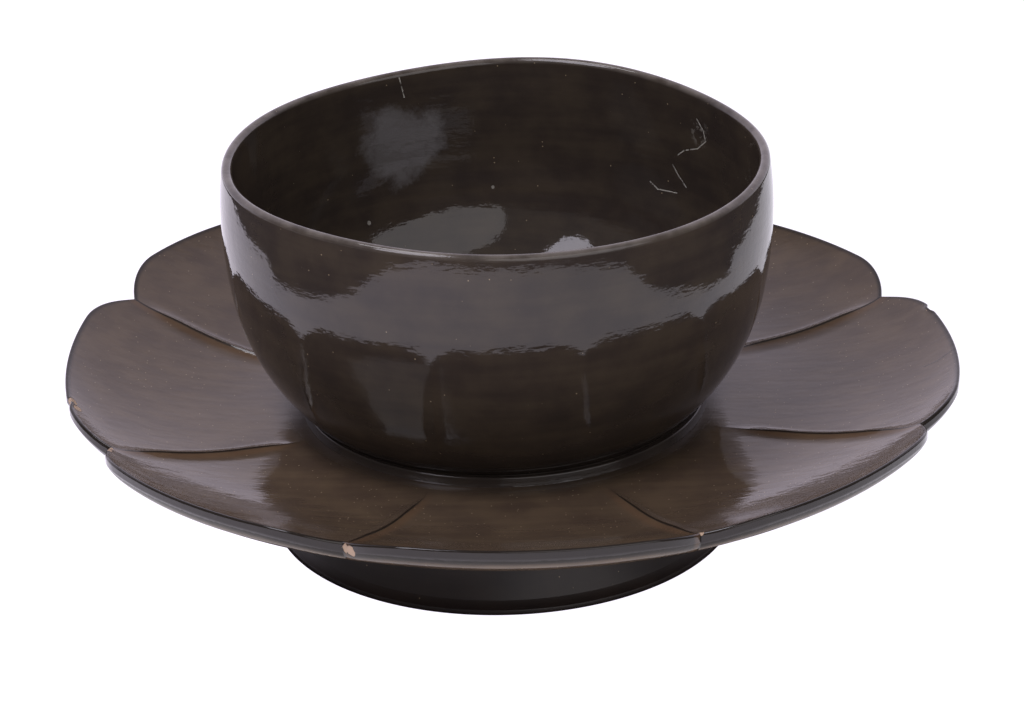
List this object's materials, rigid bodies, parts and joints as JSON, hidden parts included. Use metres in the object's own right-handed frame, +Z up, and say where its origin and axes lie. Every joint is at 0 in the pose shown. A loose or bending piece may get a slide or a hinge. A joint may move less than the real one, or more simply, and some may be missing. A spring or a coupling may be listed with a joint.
{
  "type": "tenmoku stand",
  "caption": "Lacquered wooden stand for a conical tea bowl: a deep open cup on a wide petal-edged flange, carried by a low hollow flaring foot.",
  "frame": {"origin": "centre of the petal flange's outline, at the level of the foot's sole", "axes": "+Z up out of the cup's mouth; a petal's middle lies close to each of +X, -X, +Y and -Y; the common axis of cup and foot lies 2 mm towards -X"},
  "size_m": [0.1662, 0.1662, 0.0712],
  "materials": {
    "cup_lacquer": "polished black-brown lacquer over wood",
    "flange_lacquer": "polished dark brown lacquer over wood, worn at the rim",
    "foot_lacquer": "polished black-brown lacquer over wood"
  },
  "bodies": {
    "root": {"cup_wall": "cup_lacquer", "cup_floor": "cup_lacquer", "base_bead": "cup_lacquer", "petal_flange": "flange_lacquer", "foot_wall": "foot_lacquer", "foot_hoop": "foot_lacquer"}
  },
  "joints": []
}
